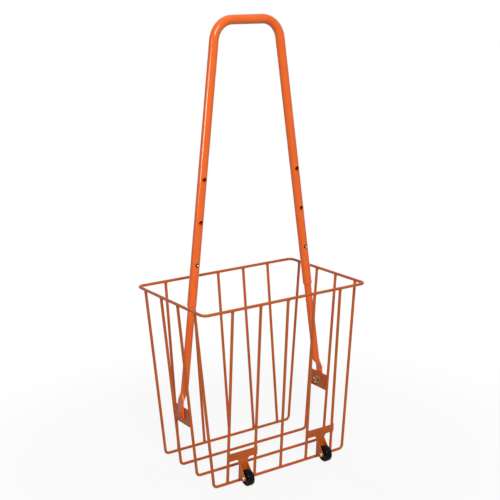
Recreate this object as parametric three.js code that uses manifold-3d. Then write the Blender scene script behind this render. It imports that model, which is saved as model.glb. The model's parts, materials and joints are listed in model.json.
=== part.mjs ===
// Tennis ball hopper: a welded wire basket on two small front wheels, with a tall bent-tube handle.
// Millimetres. +X is to the right as the wheeled front is faced, +Y is back and +Z up. The floor is z = 0.
import * as THREE from 'three';
import { mergeVertices } from 'three/addons/utils/BufferGeometryUtils.js';
import Module from 'manifold-3d';

const wasm = await Module();
wasm.setup();

// Basket wire. Widths, depths and heights run between wire centrelines.
const WIRE = 5;
const RIM_WIDTH = 330;
const RIM_DEPTH = 221;
const RIM_BEND = 10;
const BASKET_HEIGHT = 313.5;
const BOTTOM_WIDTH = 274;
const BOTTOM_DEPTH = 166;
const HOOP_BEND = 7.5;
const HOOP_COUNT = 4;
const BAR_COUNT = 5;

// Pivot plates, each between the two middle hoops
const PLATE_HEIGHT = 30;
const PLATE_THICKNESS = 2;
const PLATE_CORNER = 2;
const PIVOT_HEIGHT = 106;

// Handle: an outer tube bent to a U, over one thinner leg tube on each side.
// A leg tube shows over a length that runs from its bolt to the end of the outer tube.
const OUTER_TUBE = 16;
const TUBE_WALL = 1.2;
const HANDLE_TOP = 767.5;
const HANDLE_TOP_WIDTH = 123;
const HANDLE_BEND = 36;
const LEG_EXPOSED = 191.5;
const HOLE_PITCH = 72;
const HOLE_COUNT = 3;
const END_TO_HOLE = 72;
const LEG_ABOVE_BUTTON = 16;

// Lower end of each leg tube, pressed flat round its bolt, towards the tube's outer side.
// At the bolt the middle of the flat stands out from the tube's own axis by the offset.
const FLAT_WIDTH = 18;
const FLAT_SEAM = 0.3;
const FLAT_FACE_SHARE = 0.5;
const FLAT_ABOVE_BOLT = 22;
const FLAT_TO_ROUND = 22;
const FLAT_OFFSET = 2.8;

// Pivot bolts
const BOLT = 6;
const BOLT_HEAD = 12;
const BOLT_HEAD_HEIGHT = 3.3;
const NUT = 10;
const NUT_HEIGHT = 5;
const WASHER = 12.5;
const WASHER_THICKNESS = 1.2;
const BOLT_TIP = 2;

// Snap buttons and the leaf springs behind them
const BUTTON = 6;
const BUTTON_PROUD = 2;
const BUTTON_DOME = 1.4;
const BUTTON_FLANGE = 7.8;
const BUTTON_FLANGE_HEIGHT = 1;
const SPRING_THICKNESS = 0.5;
const SPRING_WIDTH = 5;
const SPRING_ARM = 26;
const SPRING_BEND = 1.4;

// Wheels, their brackets and axle rivets
const WHEEL = 28;
const WHEEL_WIDTH = 12;
const WHEEL_SHOULDER = 2.2;
const WHEEL_DISH = 1.5;
const WHEEL_RIM = 4;
const WHEEL_HUB = 9;
const WHEEL_FORWARD = 21;
const WHEEL_FLOOR_GAP = 0.3;
const SHEET = 1.8;
const BAND_HEIGHT = 14;
const BAND_BOTTOM = 43;
const FLANGE_SPACING = 16;
const FLANGE_TOP = 38;
const FLANGE_BOTTOM = 2;
const FLANGE_TIP = 10;
const AXLE = 5;
const AXLE_HEAD = 6.4;
const AXLE_HEAD_HEIGHT = 1.5;

// Clearances: a common one, the wider one round each button in the outer tube's holes, and the
// overrun of cutting tools
const FIT = 0.3;
const HOLE_ROOM = 0.8;
const OVERRUN = 1;

// Facets round a wire, a tube, a small turned piece and a wheel, and rings in each bend
const WIRE_SIDES = 8;
const TUBE_SIDES = 16;
const TURNED_SIDES = 20;
const WHEEL_SIDES = 32;
const WIRE_BEND_RINGS = 4;
const TUBE_BEND_RINGS = 7;
const FLATTEN_RINGS = 5;
const CORNER_SIDES = 4;

// Heights and places that follow from the sizes above
const bottomZ = WIRE / 2;
const rimZ = bottomZ + BASKET_HEIGHT;
const pivotZ = bottomZ + PIVOT_HEIGHT;
const hoopSpacing = BOTTOM_DEPTH / (HOOP_COUNT - 1);
const barSpacing = RIM_WIDTH / (BAR_COUNT + 1);
const sideLean = Math.atan2((RIM_WIDTH - BOTTOM_WIDTH) / 2, BASKET_HEIGHT);
const faceLean = Math.atan2((RIM_DEPTH - BOTTOM_DEPTH) / 2, BASKET_HEIGHT);
const plateX = BOTTOM_WIDTH / 2 + PIVOT_HEIGHT * Math.tan(sideLean);
const flatThickness = 2 * TUBE_WALL + FLAT_SEAM;
const legX = plateX + PLATE_THICKNESS / 2 + FIT + flatThickness / 2;
const outerBore = OUTER_TUBE - 2 * TUBE_WALL;
const innerTube = outerBore - 2 * FIT;
const innerBore = innerTube - 2 * TUBE_WALL;
const handleTopZ = HANDLE_TOP - PIVOT_HEIGHT;
const legLean = Math.atan2(legX - FLAT_OFFSET - HANDLE_TOP_WIDTH / 2, handleTopZ);
const buttonAt = LEG_EXPOSED + END_TO_HOLE;
const boltHole = BOLT + 2 * FIT;
const buttonHole = BUTTON + 2 * FIT;
const outerHole = BUTTON + 2 * HOLE_ROOM;

const wireOrange = new THREE.Color('#d9531c');
const handleOrange = new THREE.Color('#e8601f');
const bareSteel = new THREE.Color('#b9babc');
const wheelBlack = new THREE.Color('#141416');

function paint() {
  return new THREE.MeshStandardMaterial({ color: wireOrange, roughness: 0.42, metalness: 0.1 });
}

function handlePaint() {
  return new THREE.MeshStandardMaterial({ color: handleOrange, roughness: 0.36, metalness: 0.1 });
}

function steel() {
  return new THREE.MeshStandardMaterial({ color: bareSteel, roughness: 0.35, metalness: 0.9 });
}

function blackPlastic() {
  return new THREE.MeshStandardMaterial({ color: wheelBlack, roughness: 0.5, metalness: 0 });
}

function named(name, geometry, material) {
  const mesh = new THREE.Mesh(geometry, material);
  mesh.name = name;
  return mesh;
}

// Booleans: each geometry is reduced to merged positions and made a solid
function solidOf(geometry) {
  const bare = geometry.clone();
  for (const attribute of Object.keys(bare.attributes)) {
    if (attribute !== 'position') bare.deleteAttribute(attribute);
  }
  const merged = mergeVertices(bare);
  return new wasm.Manifold(new wasm.Mesh({
    numProp: 3,
    vertProperties: new Float32Array(merged.attributes.position.array),
    triVerts: new Uint32Array(merged.index.array),
  }));
}

function geometryOf(solid) {
  const mesh = solid.getMesh();
  const geometry = new THREE.BufferGeometry();
  geometry.setAttribute('position', new THREE.BufferAttribute(new Float32Array(mesh.vertProperties), 3));
  geometry.setIndex(new THREE.BufferAttribute(new Uint32Array(mesh.triVerts), 1));
  geometry.computeVertexNormals();
  return geometry;
}

function joined(first, ...others) {
  return geometryOf(others.reduce((solid, other) => solid.add(solidOf(other)), solidOf(first)));
}

function cut(body, ...cutters) {
  return geometryOf(cutters.reduce((solid, cutter) => solid.subtract(solidOf(cutter)), solidOf(body)));
}

function kept(body, keeper) {
  return geometryOf(solidOf(body).intersect(solidOf(keeper)));
}

// A regular outline whose flats, not its corners, stand at the given radius
function roundOutline(path, radius, sides) {
  const corner = radius / Math.cos(Math.PI / sides);
  for (let i = 0; i < sides; i += 1) {
    const angle = (2 * Math.PI * (i + 1 / 2)) / sides;
    const x = corner * Math.cos(angle);
    const y = corner * Math.sin(angle);
    if (i === 0) path.moveTo(x, y);
    else path.lineTo(x, y);
  }
  path.closePath();
  return path;
}

function wireSection() {
  return roundOutline(new THREE.Shape(), WIRE / 2, WIRE_SIDES);
}

function tubeSection(outside, bore) {
  const section = roundOutline(new THREE.Shape(), outside / 2, TUBE_SIDES);
  section.holes.push(roundOutline(new THREE.Path(), bore / 2, TUBE_SIDES));
  return section;
}

// A path whose rings stand only at its own points
class RingPath extends THREE.Curve {
  constructor(points, tangents) {
    super();
    this.points = points;
    this.tangents = tangents;
    this.steps = points.length - 1;
  }

  getPoint(t, target = new THREE.Vector3()) {
    return target.copy(this.points[Math.round(t * this.steps)]);
  }

  getPointAt(u, target) {
    return this.getPoint(u, target);
  }

  getTangentAt(u, target = new THREE.Vector3()) {
    return target.copy(this.tangents[Math.round(u * this.steps)]);
  }
}

// A line through corners, bent at each to one radius
function bentPath(corners, radius, rings) {
  const points = [corners[0]];
  const tangents = [corners[1].clone().sub(corners[0]).normalize()];
  for (let i = 1; i < corners.length - 1; i += 1) {
    const before = tangents[tangents.length - 1];
    const after = corners[i + 1].clone().sub(corners[i]).normalize();
    const turn = before.angleTo(after);
    const side = after.clone().addScaledVector(before, -before.dot(after)).normalize();
    const start = corners[i].clone().addScaledVector(before, -radius * Math.tan(turn / 2));
    const centre = start.clone().addScaledVector(side, radius);
    for (let ring = 0; ring <= rings; ring += 1) {
      const angle = (turn * ring) / rings;
      points.push(centre.clone()
        .addScaledVector(side, -radius * Math.cos(angle))
        .addScaledVector(before, radius * Math.sin(angle)));
      tangents.push(before.clone().multiplyScalar(Math.cos(angle)).addScaledVector(side, Math.sin(angle)));
    }
  }
  points.push(corners[corners.length - 1]);
  tangents.push(tangents[tangents.length - 1]);
  return new RingPath(points, tangents);
}

// A straight upright line with rings at the given heights
function uprightPath(heights) {
  return new RingPath(
    heights.map((z) => new THREE.Vector3(0, 0, z)),
    heights.map(() => new THREE.Vector3(0, 0, 1)),
  );
}

function swept(section, line) {
  return new THREE.ExtrudeGeometry(section, { steps: line.steps, extrudePath: line });
}

function bentWire(corners, radius) {
  return swept(wireSection(), bentPath(corners, radius, WIRE_BEND_RINGS));
}

function turned(profile, sides) {
  return new THREE.LatheGeometry(profile.map(([radius, height]) => new THREE.Vector2(radius, height)), sides);
}

// Distance along a leaning wire from the centre of the wire that its end is welded to
function weldSeat(lean) {
  return (WIRE / 2) * (1 + Math.tan(lean)) + FIT;
}

// The rim is one closed loop, which starts at the middle of its front
function rimWire() {
  const x = RIM_WIDTH / 2;
  const y = RIM_DEPTH / 2;
  const loop = bentPath([
    new THREE.Vector3(0, -y, 0),
    new THREE.Vector3(x, -y, 0),
    new THREE.Vector3(x, y, 0),
    new THREE.Vector3(-x, y, 0),
    new THREE.Vector3(-x, -y, 0),
    new THREE.Vector3(0, -y, 0),
  ], RIM_BEND, WIRE_BEND_RINGS);
  const closed = new THREE.TubeGeometry(loop, loop.steps, WIRE / 2, WIRE_SIDES, true);
  const rim = named('rim_wire', closed, paint());
  rim.position.z = rimZ;
  return rim;
}

// Each hoop runs down one end, under the basket and up the other end
function hoop(name, y) {
  const seat = weldSeat(sideLean);
  const topX = RIM_WIDTH / 2 - seat * Math.sin(sideLean);
  const topZ = rimZ - seat * Math.cos(sideLean);
  const mesh = named(name, bentWire([
    new THREE.Vector3(-topX, 0, topZ),
    new THREE.Vector3(-BOTTOM_WIDTH / 2, 0, bottomZ),
    new THREE.Vector3(BOTTOM_WIDTH / 2, 0, bottomZ),
    new THREE.Vector3(topX, 0, topZ),
  ], HOOP_BEND), paint());
  mesh.position.y = y;
  return mesh;
}

function hoops() {
  const names = ['front_hoop', 'inner_front_hoop', 'inner_back_hoop', 'back_hoop'];
  const group = new THREE.Group();
  names.forEach((name, i) => group.add(hoop(name, (i - (HOOP_COUNT - 1) / 2) * hoopSpacing)));
  return group;
}

// The upright bars of one face, in a frame that leans with the face: its z runs up the bars
function faceFrame(side) {
  const frame = new THREE.Group();
  frame.position.set(0, (side * BOTTOM_DEPTH) / 2, bottomZ);
  frame.rotation.x = -side * faceLean;
  frame.updateMatrixWorld();
  return frame;
}

function faceBars(face, side) {
  const seat = weldSeat(faceLean);
  const length = BASKET_HEIGHT / Math.cos(faceLean) - 2 * seat;
  const frame = faceFrame(side);
  for (let i = 0; i < BAR_COUNT; i += 1) {
    const bar = named(`${face}_bar_${i + 1}`,
      new THREE.ExtrudeGeometry(wireSection(), { depth: length, bevelEnabled: false }), paint());
    bar.position.set((i - (BAR_COUNT - 1) / 2) * barSpacing, 0, seat);
    frame.add(bar);
  }
  return frame;
}

function roundedRectangle(width, height, corner) {
  const x = width / 2;
  const y = height / 2;
  const outline = new THREE.Shape();
  outline.moveTo(-x + corner, -y);
  outline.lineTo(x - corner, -y);
  outline.absarc(x - corner, -y + corner, corner, -Math.PI / 2, 0);
  outline.lineTo(x, y - corner);
  outline.absarc(x - corner, y - corner, corner, 0, Math.PI / 2);
  outline.lineTo(-x + corner, y);
  outline.absarc(-x + corner, y - corner, corner, Math.PI / 2, Math.PI);
  outline.lineTo(-x, -y + corner);
  outline.absarc(-x + corner, -y + corner, corner, Math.PI, (3 * Math.PI) / 2);
  return outline;
}

// An outline in the plane across X, given as (y, z), made a sheet centred on x = 0
function acrossX(outline, thickness) {
  const sheet = new THREE.ExtrudeGeometry(outline, {
    depth: thickness, bevelEnabled: false, curveSegments: CORNER_SIDES,
  });
  sheet.translate(0, 0, -thickness / 2);
  sheet.rotateX(Math.PI / 2);
  sheet.rotateZ(Math.PI / 2);
  return sheet;
}

function rodAlongX(diameter, length, sides = TURNED_SIDES) {
  return new THREE.CylinderGeometry(diameter / 2, diameter / 2, length, sides).rotateZ(Math.PI / 2);
}

function pivotPlate(name, side) {
  const width = hoopSpacing - WIRE - 2 * FIT;
  const blank = acrossX(roundedRectangle(width, PLATE_HEIGHT, PLATE_CORNER), PLATE_THICKNESS);
  const plate = named(name, cut(blank, rodAlongX(boltHole, PLATE_THICKNESS + 2 * OVERRUN)), paint());
  plate.position.set(side * plateX, 0, pivotZ);
  return plate;
}

// Turned pieces of the pivot, each with its axis along X and its outer face towards +X
function boltBody() {
  const shank = flatThickness + FIT + PLATE_THICKNESS + WASHER_THICKNESS + NUT_HEIGHT + 3 * FIT + BOLT_TIP;
  const flank = BOLT_HEAD_HEIGHT / 2;
  return turned([
    [0, -shank],
    [BOLT / 2, -shank],
    [BOLT / 2, 0],
    [BOLT_HEAD / 2, 0],
    [BOLT_HEAD / 2, flank],
    [BOLT_HEAD / 2 - flank, BOLT_HEAD_HEIGHT],
    [0, BOLT_HEAD_HEIGHT],
  ], TURNED_SIDES).rotateZ(-Math.PI / 2);
}

function ringAlongX(outside, hole, thickness, sides = TURNED_SIDES) {
  return turned([
    [hole / 2, -thickness / 2],
    [outside / 2, -thickness / 2],
    [outside / 2, thickness / 2],
    [hole / 2, thickness / 2],
    [hole / 2, -thickness / 2],
  ], sides).rotateZ(Math.PI / 2);
}

function hexNut() {
  const outline = roundOutline(new THREE.Shape(), NUT / 2, 6);
  outline.holes.push(roundOutline(new THREE.Path(), boltHole / 2, TURNED_SIDES));
  return acrossX(outline, NUT_HEIGHT);
}

function pivotFasteners(sideName, side) {
  const group = new THREE.Group();
  group.position.z = pivotZ;
  const headX = legX + flatThickness / 2 + FIT;
  const washerX = plateX - PLATE_THICKNESS / 2 - FIT - WASHER_THICKNESS / 2;
  const nutX = washerX - WASHER_THICKNESS / 2 - FIT - NUT_HEIGHT / 2;
  const bolt = named(`${sideName}_pivot_bolt`, boltBody(), paint());
  bolt.position.x = side * headX;
  bolt.rotation.z = side > 0 ? 0 : Math.PI;
  const washer = named(`${sideName}_pivot_washer`, ringAlongX(WASHER, boltHole, WASHER_THICKNESS), steel());
  washer.position.x = side * washerX;
  const nut = named(`${sideName}_pivot_nut`, hexNut(), steel());
  nut.position.x = side * nutX;
  group.add(bolt, washer, nut);
  return group;
}

// The frame of one leg: z runs up the axis of its tube, -y points to the hopper's front
function legFrame(side) {
  const frame = new THREE.Group();
  frame.position.set(side * (legX - FLAT_OFFSET), 0, 0);
  frame.rotation.y = -side * legLean;
  frame.updateMatrixWorld();
  return frame;
}

function inLegFrame(geometry, side) {
  return geometry.applyMatrix4(legFrame(side).matrixWorld);
}

function frontHole(diameter, at) {
  const cutter = new THREE.CylinderGeometry(diameter / 2, diameter / 2, OUTER_TUBE, TURNED_SIDES);
  return cutter.translate(0, -OUTER_TUBE / 2, at);
}

function handleTube() {
  const end = new THREE.Vector3(0, 0, LEG_EXPOSED);
  const leftEnd = end.clone().applyMatrix4(legFrame(-1).matrixWorld);
  const rightEnd = end.clone().applyMatrix4(legFrame(1).matrixWorld);
  const bent = swept(tubeSection(OUTER_TUBE, outerBore), bentPath([
    leftEnd,
    new THREE.Vector3(-HANDLE_TOP_WIDTH / 2, 0, handleTopZ),
    new THREE.Vector3(HANDLE_TOP_WIDTH / 2, 0, handleTopZ),
    rightEnd,
  ], HANDLE_BEND, TUBE_BEND_RINGS));
  const holes = [];
  for (const side of [-1, 1]) {
    for (let i = 0; i < HOLE_COUNT; i += 1) {
      holes.push(inLegFrame(frontHole(outerHole, buttonAt + i * HOLE_PITCH), side));
    }
  }
  return named('handle_tube', cut(bent, ...holes), handlePaint());
}

// How round the leg tube is at a height: 0 where it is pressed flat, 1 where it is a tube
function roundness(height) {
  return THREE.MathUtils.smoothstep(height, FLAT_ABOVE_BOLT, FLAT_ABOVE_BOLT + FLAT_TO_ROUND);
}

function flattened(point) {
  const radius = Math.hypot(point.x, point.y);
  const isOutside = radius > (innerTube + innerBore) / 4;
  const halfThickness = isOutside ? flatThickness / 2 : FLAT_SEAM / 2;
  const halfWidth = isOutside ? FLAT_WIDTH / 2 : FLAT_WIDTH / 2 - TUBE_WALL;
  const across = THREE.MathUtils.clamp(point.x / (radius * FLAT_FACE_SHARE), -1, 1);
  const share = roundness(point.z);
  point.x = THREE.MathUtils.lerp(halfThickness * across, point.x, share);
  point.y = THREE.MathUtils.lerp((halfWidth * point.y) / radius, point.y, share);
  return point;
}

// Moves a point of the straight leg to its place: upright where it is flat, on the leaning axis above
function leaned(point, side) {
  const share = roundness(point.z);
  const angle = legLean * share;
  const centreX = -share * (FLAT_OFFSET + point.z * Math.sin(legLean));
  const centreZ = THREE.MathUtils.lerp(point.z, point.z * Math.cos(legLean), share);
  return point.set(
    side * centreX + point.x * Math.cos(angle),
    point.y,
    centreZ + side * point.x * Math.sin(angle),
  );
}

function legTube(name, side) {
  const tip = FLAT_WIDTH / 2;
  const top = buttonAt + LEG_ABOVE_BUTTON;
  const rings = [-tip, top];
  for (let i = 0; i <= FLATTEN_RINGS; i += 1) {
    rings.splice(-1, 0, FLAT_ABOVE_BOLT + (FLAT_TO_ROUND * i) / FLATTEN_RINGS);
  }
  const straight = swept(tubeSection(innerTube, innerBore), uprightPath(rings));
  const shaped = cut(straight, frontHole(buttonHole, buttonAt));
  const positions = shaped.attributes.position;
  const point = new THREE.Vector3();
  for (let i = 0; i < positions.count; i += 1) {
    leaned(flattened(point.fromBufferAttribute(positions, i)), side);
    positions.setXYZ(i, point.x, point.y, point.z);
  }
  // The tip is cut round about the bolt
  const above = new THREE.BoxGeometry(2 * legX, FLAT_WIDTH + 2 * OVERRUN, top + OVERRUN);
  above.translate(0, 0, (top + OVERRUN) / 2);
  const rounded = kept(shaped, joined(above, rodAlongX(FLAT_WIDTH, OUTER_TUBE)));
  const mesh = named(name, cut(rounded, rodAlongX(boltHole, OUTER_TUBE)), handlePaint());
  mesh.position.x = side * legX;
  return mesh;
}

// Where the button's flange stops inside the leg tube, outwards from the tube's axis
const flangeStop = Math.sqrt((innerBore / 2) ** 2 - (BUTTON_FLANGE / 2) ** 2) - FIT;
const flangeBack = flangeStop - BUTTON_FLANGE_HEIGHT;

function snapButton(name) {
  const top = OUTER_TUBE / 2 + BUTTON_PROUD;
  const profile = [
    [0, flangeBack],
    [BUTTON_FLANGE / 2, flangeBack],
    [BUTTON_FLANGE / 2, flangeStop],
    [BUTTON / 2, flangeStop],
  ];
  for (let i = 0; i <= CORNER_SIDES; i += 1) {
    const angle = (Math.PI / 2) * (i / CORNER_SIDES);
    profile.push([(BUTTON / 2) * Math.cos(angle), top - BUTTON_DOME + BUTTON_DOME * Math.sin(angle)]);
  }
  const mesh = named(name, turned(profile, TURNED_SIDES).rotateX(Math.PI), steel());
  mesh.position.z = buttonAt;
  return mesh;
}

// A leaf spring bent to a V: its front arm pushes the button, its back arm bears on the tube
function buttonSpring(name) {
  const frontY = -(flangeBack - FIT - SPRING_THICKNESS / 2);
  const backY = Math.sqrt((innerBore / 2) ** 2 - (SPRING_WIDTH / 2) ** 2) - FIT - SPRING_THICKNESS / 2;
  const foot = -BUTTON_FLANGE / 2;
  const strip = new THREE.Shape();
  strip.moveTo(-SPRING_WIDTH / 2, -SPRING_THICKNESS / 2);
  strip.lineTo(SPRING_WIDTH / 2, -SPRING_THICKNESS / 2);
  strip.lineTo(SPRING_WIDTH / 2, SPRING_THICKNESS / 2);
  strip.lineTo(-SPRING_WIDTH / 2, SPRING_THICKNESS / 2);
  strip.closePath();
  const mesh = named(name, swept(strip, bentPath([
    new THREE.Vector3(0, frontY, foot),
    new THREE.Vector3(0, (frontY + backY) / 2, SPRING_ARM),
    new THREE.Vector3(0, backY, foot),
  ], SPRING_BEND, TUBE_BEND_RINGS)), steel());
  mesh.position.z = buttonAt;
  return mesh;
}

function handle() {
  const group = new THREE.Group();
  group.position.z = pivotZ;
  group.add(handleTube());
  for (const [sideName, side] of [['left', -1], ['right', 1]]) {
    const frame = legFrame(side);
    frame.add(snapButton(`${sideName}_snap_button`), buttonSpring(`${sideName}_button_spring`));
    group.add(legTube(`${sideName}_leg_tube`, side), frame);
  }
  return group;
}

// The axle's place in the frame of the front face
const axlePlace = faceFrame(-1).worldToLocal(
  new THREE.Vector3(0, -BOTTOM_DEPTH / 2 - WHEEL_FORWARD, WHEEL / 2 + WHEEL_FLOOR_GAP));
const sheetBack = WIRE / 2 + FIT;

// The angle about the origin at which a line from a point touches a circle
function tangentAngle(point, radius, turn) {
  return Math.atan2(point.y, point.x) + turn * Math.acos(radius / point.length());
}

// One side of the fork, as (y, z) about the axle
function forkFlange() {
  const back = -sheetBack - axlePlace.y;
  const top = new THREE.Vector2(back, FLANGE_TOP - axlePlace.z);
  const bottom = new THREE.Vector2(back, FLANGE_BOTTOM - axlePlace.z);
  const tip = FLANGE_TIP / 2;
  const outline = new THREE.Shape();
  outline.moveTo(bottom.x, bottom.y);
  outline.lineTo(top.x, top.y);
  outline.absarc(0, 0, tip, tangentAngle(top, tip, 1), tangentAngle(bottom, tip, -1) + 2 * Math.PI);
  outline.closePath();
  outline.holes.push(roundOutline(new THREE.Path(), AXLE / 2 + FIT, TURNED_SIDES));
  return acrossX(outline, SHEET).translate(0, axlePlace.y, axlePlace.z);
}

function wheelBracket(name) {
  const sheetY = -sheetBack - SHEET / 2;
  const band = new THREE.BoxGeometry(barSpacing + WIRE / 2, SHEET, BAND_HEIGHT);
  band.translate(0, sheetY, BAND_BOTTOM + BAND_HEIGHT / 2);
  const webHeight = BAND_BOTTOM + BAND_HEIGHT / 2 - FLANGE_BOTTOM;
  const web = new THREE.BoxGeometry(FLANGE_SPACING + SHEET, SHEET, webHeight);
  web.translate(0, sheetY, FLANGE_BOTTOM + webHeight / 2);
  const left = forkFlange().translate(-FLANGE_SPACING / 2, 0, 0);
  const right = forkFlange().translate(FLANGE_SPACING / 2, 0, 0);
  return named(name, joined(band, web, left, right), paint());
}

function wheel(name) {
  const radius = WHEEL / 2;
  const face = WHEEL_WIDTH / 2;
  const half = [
    [AXLE / 2 + FIT, face],
    [WHEEL_HUB / 2, face],
    [WHEEL_HUB / 2, face - WHEEL_DISH],
    [radius - WHEEL_RIM, face - WHEEL_DISH],
    [radius - WHEEL_RIM, face],
  ];
  for (let i = 0; i <= CORNER_SIDES; i += 1) {
    const angle = (Math.PI / 2) * (i / CORNER_SIDES);
    half.push([
      radius - WHEEL_SHOULDER * (1 - Math.sin(angle)),
      face - WHEEL_SHOULDER * (1 - Math.cos(angle)),
    ]);
  }
  const lower = half.map(([across, height]) => [across, -height]);
  const profile = [...lower, ...half.reverse(), lower[0]];
  return named(name, turned(profile, WHEEL_SIDES).rotateZ(Math.PI / 2), blackPlastic());
}

function axleRivet(name) {
  const end = (FLANGE_SPACING + SHEET) / 2 + FIT;
  return named(name, turned([
    [0, -end - AXLE_HEAD_HEIGHT],
    [AXLE / 2, -end - AXLE_HEAD_HEIGHT],
    [AXLE_HEAD / 2, -end],
    [AXLE / 2, -end],
    [AXLE / 2, end],
    [AXLE_HEAD / 2, end],
    [AXLE / 2, end + AXLE_HEAD_HEIGHT],
    [0, end + AXLE_HEAD_HEIGHT],
  ], TURNED_SIDES).rotateZ(Math.PI / 2), steel());
}

// A wheel set stands midway between the two outermost front bars of its side
function wheelSet(sideName, side) {
  const frame = faceFrame(-1);
  const set = new THREE.Group();
  set.position.x = side * ((BAR_COUNT - 1) / 2 - 1 / 2) * barSpacing;
  const turning = new THREE.Group();
  turning.position.copy(axlePlace);
  turning.add(wheel(`${sideName}_wheel`), axleRivet(`${sideName}_axle_rivet`));
  set.add(wheelBracket(`${sideName}_wheel_bracket`), turning);
  frame.add(set);
  return frame;
}

// The whole is centred on its own depth, wheels included
function hopper() {
  const group = new THREE.Group();
  const frontReach = BOTTOM_DEPTH / 2 + WHEEL_FORWARD + WHEEL / 2;
  const backReach = RIM_DEPTH / 2 + WIRE / 2;
  group.position.y = (frontReach - backReach) / 2;
  group.add(rimWire(), hoops(), faceBars('front', -1), faceBars('back', 1), handle());
  for (const [sideName, side] of [['left', -1], ['right', 1]]) {
    group.add(pivotPlate(`${sideName}_pivot_plate`, side), pivotFasteners(sideName, side));
    group.add(wheelSet(sideName, side));
  }
  return group;
}

export default hopper();
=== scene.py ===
"""The tennis ball hopper's looks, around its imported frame: wires, tubes, wheels, paint and light."""

import json
import math

import bmesh
import bpy
from mathutils import Matrix, Vector


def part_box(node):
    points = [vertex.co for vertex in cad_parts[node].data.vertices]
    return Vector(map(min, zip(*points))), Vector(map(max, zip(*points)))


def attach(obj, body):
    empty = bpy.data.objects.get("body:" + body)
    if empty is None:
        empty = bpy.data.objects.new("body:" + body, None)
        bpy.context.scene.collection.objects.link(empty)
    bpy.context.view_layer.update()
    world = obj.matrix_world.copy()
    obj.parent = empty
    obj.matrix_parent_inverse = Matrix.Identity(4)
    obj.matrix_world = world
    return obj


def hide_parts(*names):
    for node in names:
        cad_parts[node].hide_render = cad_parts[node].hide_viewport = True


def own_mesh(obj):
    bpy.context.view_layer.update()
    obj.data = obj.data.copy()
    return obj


MM = 0.001
X, Y, Z = Vector((1, 0, 0)), Vector((0, 1, 0)), Vector((0, 0, 1))
QUARTER = math.radians(90)
SIDES = (("left", -1), ("right", 1))
ENDS = (("front", -1), ("back", 1))

# The photograph's camera
PHOTO_SIZE = 500
FOCAL_PIXELS = 1038.2
SENSOR_WIDTH = 36.0
CAMERA_PLACE = Vector((-0.96683, -1.45704, 0.80517))
CAMERA_YAW = math.radians(-33.47)
CAMERA_PITCH = math.radians(-13.69)
CAMERA_ROLL = math.radians(-0.91)

# Lamps, each with its place, the point it faces, its width and height, and its power in watts.
# The panel stands on the left, where the left leg mirrors it as a streak. It is only mirrored, and
# lights no surface. The fills light the back and the right side, and aren't mirrored.
KEY_PLACE, KEY_TARGET = (-1.5, -3.0, 2.6), (0, 0, 0.32)
KEY_SIZE, KEY_POWER = (1.6, 1.6), 150
PANEL_PLACE, PANEL_TARGET = (-3.04, -0.69, 0.93), (-0.1, 0, 0.65)
PANEL_SIZE, PANEL_POWER = (0.9, 0.6), 52
FILL_PLACES, FILL_TARGET = ((2.6, 1.45, 0.75), (0.25, 2.95, 0.75)), (0, 0, 0.32)
FILL_SIZE, FILL_POWER = (1.2, 1.2), 50
OVERHEAD_PLACE, OVERHEAD_TARGET = (0.1, -0.2, 2.3), (0, 0, 0.32)
OVERHEAD_SIZE, OVERHEAD_POWER = (1.4, 1.4), 4

# World and floor
WORLD_LIGHT = 0.07
FLOOR_SIZE = 12.0
FLOOR_FADE_START = 0.3
FLOOR_FADE_END = 0.7
FLOOR_WHITE_SHARE = 0.86
FLOOR_COLOUR = (0.75, 0.75, 0.75)
FLOOR_BOUNCE = (0.3, 0.3, 0.3)
FLOOR_ROUGHNESS, FLOOR_SPECULAR = 0.9, 0.1

# Colours of paint, steel and plastic, each with the deeper tone that mottles it, and a dark steel tone
# that is painted shade
# The wires' orange and its deeper tone are darker than the handle's paint: painted shade for the thin
# wires in their shaded places
WIRE_SHADED_ORANGE, WIRE_SHADED_DEEP = (0.57, 0.115, 0.015), (0.48, 0.092, 0.012)
HANDLE_ORANGE, HANDLE_DEEP = (0.9, 0.142, 0.006), (0.84, 0.125, 0.005)
STEEL_PALE, STEEL_DEEP = (0.66, 0.55, 0.38), (0.42, 0.35, 0.23)
# Painted shade: the dark tone of the buttons' sides, where their holes shade them
STEEL_PAINTED_SHADE = (0.05, 0.025, 0.01)
BLACK_WORN, BLACK_DEEP = (0.006, 0.006, 0.0065), (0.002, 0.002, 0.0025)

# Textures: each is noise, given by its cycles a metre, its detail and any stretch. Noise stays near
# its middle, so the two values in NOISE_ENDS count as its lowest and its highest.
NOISE_ENDS = (0.3, 0.7)
PAINT_MOTTLING, PAINT_PATCHES, ORANGE_PEEL = (38, 3), (160, 3), (620, 1.5)
STEEL_MOTTLING, STEEL_PATCHES, TURNING_MARKS = (220, 3), (500, 2), (1500, 1, (1, 0.1, 0.1))
PLASTIC_SCUFFS, PLASTIC_PATCHES, PLASTIC_GRAIN = (300, 4), (240, 3), (900, 2)

# Finishes: each relief's depth and strength, and each surface's range of roughness and specular level
PEEL_DEPTH, PEEL_STRENGTH = 0.05 * MM, 0.5
MARKS_DEPTH, MARKS_STRENGTH = 0.02 * MM, 0.4
GRAIN_DEPTH, GRAIN_STRENGTH = 0.04 * MM, 0.5
WIRE_ROUGHNESS, WIRE_SPECULAR = (0.28, 0.4), 0.22
HANDLE_ROUGHNESS, HANDLE_SPECULAR = (0.13, 0.2), 0.35
STEEL_ROUGHNESS, STEEL_SPECULAR = (0.22, 0.4), 0.5
PLASTIC_ROUGHNESS, PLASTIC_SPECULAR = (0.2, 0.34), 0.06

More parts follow.
